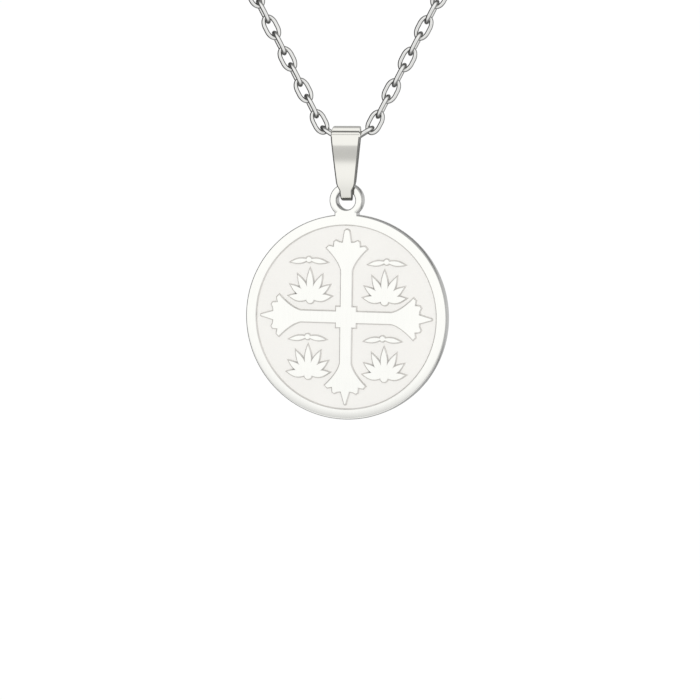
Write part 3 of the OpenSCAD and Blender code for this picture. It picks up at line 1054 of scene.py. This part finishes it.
class NECKLACE_OT_clasp(Operator):
    """Make the flat clasp with its hook end and its eye end"""
    bl_idname = "necklace.clasp"
    bl_label = "Clasp"

    def execute(self, context):
        settings = context.scene.necklace
        sizes = settings.fittings
        half = (clasp_high.y - clasp_low.y) / 2
        levels = clasp_levels(half, sizes.clasp_round)
        body = shape("clasp body", *stacked(clasp_outline(sizes), levels))
        mouth_radius = sizes.mouth_diameter / 2
        mouth_x = clasp_low.x + sizes.clasp_wall + mouth_radius
        eye_radius = sizes.eye_diameter / 2 - sizes.clasp_wall
        eye_x = clasp_high.x - sizes.eye_diameter / 2
        rim = sizes.clasp_round / 2
        holes = [opening(mouth_radius, mouth_x, half, rim), opening(eye_radius, eye_x, half, rim)]
        mesh = combined(body, holes, "DIFFERENCE")
        smooth(mesh, sharp_above=30)
        for vertex in mesh.vertices:
            x, z, height = vertex.co
            vertex.co = (x, -height, z)
        piece = new_object("flat_clasp", mesh)
        steel = settings.steel
        material = steel_material("Satin clasp", steel.satin, steel.satin_roughness, CLASP_BRUSH)
        finish_piece(piece, "chain", "clasp_steel", "clasp", material)
        return {"FINISHED"}


# Steel
# A grain says how fine it is, how it is drawn out along each axis, how much it shades the colour
# and changes the roughness, how high it stands in millimetres, and how metallic the steel looks
Grain = namedtuple("Grain", "fineness stretch shade blur height metal")
PLATE_POLISH = Grain(900, (6, 1, 0.5), shade=0.03, blur=0.06, height=0.0008, metal=1)
FIELD_GRAIN = Grain(9000, (1, 1, 1), shade=0.05, blur=0.1, height=0.006, metal=0.9)
WALL_GRAIN = Grain(6000, (1, 1, 1), shade=0.04, blur=0.08, height=0.001, metal=0.9)
EDGE_GRAIN = Grain(3000, (1, 0.2, 1), shade=0.1, blur=0.1, height=0.001, metal=0.9)
SATIN_BRUSH = Grain(1500, (10, 1, 0.3), shade=0.08, blur=0.12, height=0.004, metal=0.8)
CLASP_BRUSH = Grain(1500, (0.3, 1, 10), shade=0.08, blur=0.12, height=0.004, metal=0.85)
BAIL_POLISH = Grain(1200, (6, 0.5, 0.2), shade=0.02, blur=0.03, height=0.0004, metal=1)
WIRE_POLISH = Grain(2500, (1, 1, 1), shade=0.06, blur=0.08, height=0.001, metal=1)
# Fineness of the rubbed patches, and how deep the detail of grain and patches goes
PATCH_FINENESS, PATCH_DETAIL, GRAIN_DETAIL = 260, 2, 3
# How much of a grain's shade is taken off the colour where grain and patches are strongest
DARKENING = 2
# Painted reflection across a wire: brightness from its middle, which mirrors the grey camera, to
# its dark sides
WIRE_PAINTED_REFLECTION = ((0, 0.7), (0.02, 0.9), (0.1, 0.9), (0.22, 0.3), (1, 0.22))


def steel_group():
    """Shader group with the grain and rubbed patches that all the steels share."""
    name = "Worked steel"
    if name in bpy.data.node_groups:
        return bpy.data.node_groups[name]
    inputs = {"Vector": "Vector", "Colour": "Color", "Fineness": "Float", "Stretch": "Vector",
              "Shade": "Float", "Roughness": "Float", "Blur": "Float"}
    outputs = {"Colour": "Color", "Roughness": "Float", "Height": "Float"}
    group = node_group(name, "ShaderNodeTree", inputs, outputs)
    given = add_node(group, "NodeGroupInput")

    drawn = add_node(group, "ShaderNodeVectorMath", {0: given["Vector"], 1: given["Stretch"]},
                     operation="MULTIPLY")
    grain = add_node(group, "ShaderNodeTexNoise",
                     {"Vector": drawn[0], "Scale": given["Fineness"],
                      "Detail": GRAIN_DETAIL})["Fac"]
    patches = add_node(group, "ShaderNodeTexNoise",
                       {"Vector": given["Vector"], "Scale": PATCH_FINENESS,
                        "Detail": PATCH_DETAIL})["Fac"]
    mixed = math_node(group, "MULTIPLY", grain, patches)

    depth = math_node(group, "MULTIPLY", mixed, given["Shade"])
    light = math_node(group, "MULTIPLY_ADD", depth, -DARKENING, 1)
    shaded = add_node(group, "ShaderNodeVectorMath", {0: given["Colour"], "Scale": light},
                      operation="SCALE")
    spread = math_node(group, "MULTIPLY_ADD", mixed, given["Blur"], given["Roughness"])
    add_node(group, "NodeGroupOutput",
             {"Colour": shaded[0], "Roughness": spread, "Height": grain})
    return group


def steel_material(name, base, roughness, grain, reflection_stops=None):
    """A steel with its own grain. Colour, roughness and height come from the shared group, and
    reflection stops add a painted reflection to the colour.
    """
    material = bpy.data.materials.new(name)
    material.use_nodes = True
    material.diffuse_color = (*base, 1)
    tree = material.node_tree
    place = add_node(tree, "ShaderNodeTexCoord")["Object"]
    worked = add_node(tree, "ShaderNodeGroup",
                      {"Vector": place, "Colour": (*base, 1), "Fineness": grain.fineness,
                       "Stretch": grain.stretch, "Shade": grain.shade, "Roughness": roughness,
                       "Blur": grain.blur},
                      node_tree=steel_group())
    bump = add_node(tree, "ShaderNodeBump",
                    {"Strength": 1, "Distance": grain.height * MM, "Height": worked["Height"]})
    # where stops are given, a painted reflection darkens the colour as the surface turns from the
    # eye
    tint = painted_reflection(tree, worked["Colour"], reflection_stops) if reflection_stops else worked["Colour"]
    set_inputs(tree, tree.nodes["Principled BSDF"],
               {"Base Color": tint, "Metallic": grain.metal, "Roughness": worked["Roughness"],
                "Normal": bump["Normal"]})
    return material


def painted_reflection(tree, tint, reflection_stops):
    """The colour with a painted reflection, darkened by how far the surface turns away from the
    eye.
    """
    facing = add_node(tree, "ShaderNodeLayerWeight")["Facing"]
    both = add_node(tree, "ShaderNodeMix",
                    {"Factor": 1, "A": tint, "B": brightness_ramp(tree, facing, reflection_stops)},
                    data_type="RGBA", blend_type="MULTIPLY")
    return both["Result"]


# Studio
# Brightness of the studio's walls as polished steel sees them, by degrees round the object. The
# first list runs from the back (-180) under it to the front (0), over its top (90) and on to the
# back. The second runs level, from the back over -X (-90), the front (0) and +X (90) to the back
OVER_STOPS = ((-180, 0.62), (-171.5, 0.55), (-168.6, 0.42), (-167.4, 0.12), (-166, 0.12),
              (-163, 0.65), (-140, 0.65), (-125, 0.45), (-104.5, 0.5), (-101, 0.85), (-23, 0.9),
              (-20, 0.93), (-16.5, 1.04), (-12.5, 1.04), (-11.7, 0.6), (-8.5, 0.6), (-5.6, 1.04),
              (60, 1.04), (62.7, 1.0), (64, 0.62), (69, 0.62), (71, 1.0), (83, 1.04), (85.5, 0.2),
              (99, 0.2), (101.5, 1.04), (125, 1.0), (140, 0.4), (161, 0.55), (166, 0.12),
              (169.5, 0.12), (172, 0.55))
ROUND_STOPS = ((-180, 0.5), (-150, 0.3), (-135, 0.08), (-100, 0.1), (-62, 0.3), (-50, 1.04),
               (60, 1.04), (80, 1.1), (100, 1.2), (115, 1.15), (122, 0.45), (130, 0.7),
               (150, 0.7), (180, 0.5))
# Sideways part of a direction where the second list starts to count, and where it alone counts
SIDE_START, SIDE_FULL = 0.5, 0.75
# Nearest and farthest places that the camera sees, as shares of its distance
NEAREST_SEEN, FARTHEST_SEEN = 0.1, 200


def wall_brightness(tree, first, second, stops):
    """Brightness by the angle between two parts of a direction, as a share of a full turn."""
    turn = math_node(tree, "ARCTAN2", first, second)
    part = math_node(tree, "MULTIPLY_ADD", turn, 1 / (2 * pi), 0.5)
    return brightness_ramp(tree, part, [((at + 180) / 360, value) for at, value in stops])


def studio_light(fill):
    """Even white light for the floor and the camera, and softly banded walls in the reflections."""
    world = bpy.data.worlds.new("Studio walls")
    world.use_nodes = True
    world.cycles.sampling_method = "NONE"
    tree = world.node_tree
    way = add_node(tree, "ShaderNodeTexCoord")["Generated"]
    parts = add_node(tree, "ShaderNodeSeparateXYZ", {0: way})
    front = math_node(tree, "MULTIPLY", parts["Y"], -1)
    over = wall_brightness(tree, parts["Z"], front, OVER_STOPS)
    around = wall_brightness(tree, parts["X"], front, ROUND_STOPS)
    sideways = math_node(tree, "ABSOLUTE", parts["X"])
    blend = add_node(tree, "ShaderNodeMapRange",
                     {"Value": sideways, "From Min": SIDE_START, "From Max": SIDE_FULL},
                     interpolation_type="SMOOTHSTEP")
    walls = add_node(tree, "ShaderNodeMix", {"Factor": blend["Result"], "A": over, "B": around},
                     data_type="RGBA")
    is_mirrored = add_node(tree, "ShaderNodeLightPath")["Is Glossy Ray"]
    seen = add_node(tree, "ShaderNodeMix",
                    {"Factor": is_mirrored, "A": (fill, fill, fill, 1), "B": walls["Result"]},
                    data_type="RGBA")
    set_inputs(tree, tree.nodes["Background"], {"Color": seen["Result"]})
    bpy.context.scene.world = world


def studio_floor(studio):
    half, height = studio.floor_half, plate_low.z - studio.floor_drop
    corners = [(x * half, y * half, height) for x, y in ((-1, -1), (1, -1), (1, 1), (-1, 1))]
    mesh = bpy.data.meshes.new("floor")
    mesh.from_pydata(corners, [], [[0, 1, 2, 3]])
    paint = bpy.data.materials.new("Pale floor")
    paint.use_nodes = True
    tree = paint.node_tree
    set_inputs(tree, tree.nodes["Principled BSDF"],
               {"Base Color": (*studio.floor_colour, 1), "Roughness": 1,
                "Specular IOR Level": 0})
    mesh.materials.append(paint)
    floor = new_object("floor", mesh)
    floor.visible_glossy = False


def studio_camera(studio):
    data = bpy.data.cameras.new("camera")
    data.lens, data.sensor_width = studio.lens, studio.sensor
    data.clip_start = studio.distance * NEAREST_SEEN
    data.clip_end = studio.distance * FARTHEST_SEEN
    camera = new_object("camera", data)
    turn, rise = studio.azimuth, studio.elevation
    back = Vector((sin(turn) * cos(rise), -cos(turn) * cos(rise), sin(rise)))
    right = Vector((cos(turn), sin(turn), 0))
    up = back.cross(right)
    target = plate_middle() + Vector((0, 0, studio.target_rise))
    camera.location = target + back * studio.distance
    aim = target + right * studio.aim_right - up * studio.aim_drop
    camera.rotation_euler = (aim - camera.location).to_track_quat("-Z", "Y").to_euler()
    bpy.context.scene.camera = camera


class NECKLACE_OT_studio(Operator):
    """Make the pale floor, the soft studio light and the camera"""
    bl_idname = "necklace.studio"
    bl_label = "Studio"

    def execute(self, context):
        studio = context.scene.necklace.studio
        studio_floor(studio)
        studio_light(studio.fill)
        studio_camera(studio)
        context.scene.view_settings.view_transform = "Standard"
        return {"FINISHED"}


MAKERS = (
    NECKLACE_OT_studio,
    NECKLACE_OT_medallion,
    NECKLACE_OT_bail,
    NECKLACE_OT_front_chain,
    NECKLACE_OT_side_chain,
    NECKLACE_OT_rings,
    NECKLACE_OT_clasp,
    NECKLACE_OT_extender,
)
GROUPS = (MedallionSizes, CrossSizes, LeafSizes, BailSizes, ChainSizes, FittingSizes, SteelFinishes,
          StudioSettings, NecklaceSettings)


class NECKLACE_PT_panel(Panel):
    """Lists the necklace's pieces and their sizes"""
    bl_idname = "NECKLACE_PT_panel"
    bl_label = "Cross Pendant Necklace"
    bl_space_type = "VIEW_3D"
    bl_region_type = "UI"
    bl_category = "Necklace"

    def draw(self, context):
        for maker in MAKERS:
            self.layout.operator(maker.bl_idname)
        settings = context.scene.necklace
        for part in NecklaceSettings.__annotations__:
            box = self.layout.box()
            box.label(text=part.capitalize())
            group = getattr(settings, part)
            for size in type(group).__annotations__:
                box.prop(group, size)


def register():
    for group in GROUPS + MAKERS + (NECKLACE_PT_panel,):
        bpy.utils.register_class(group)
    bpy.types.Scene.necklace = PointerProperty(type=NecklaceSettings)


def unregister():
    del bpy.types.Scene.necklace
    for group in reversed(GROUPS + MAKERS + (NECKLACE_PT_panel,)):
        bpy.utils.unregister_class(group)


def main():
    register()
    bpy.ops.necklace.studio()
    bpy.ops.necklace.medallion()
    bpy.ops.necklace.bail()
    bpy.ops.necklace.front_chain()
    bpy.ops.necklace.side_chain()
    bpy.ops.necklace.rings()
    bpy.ops.necklace.clasp()
    bpy.ops.necklace.extender()


if __name__ == "__main__":
    main()
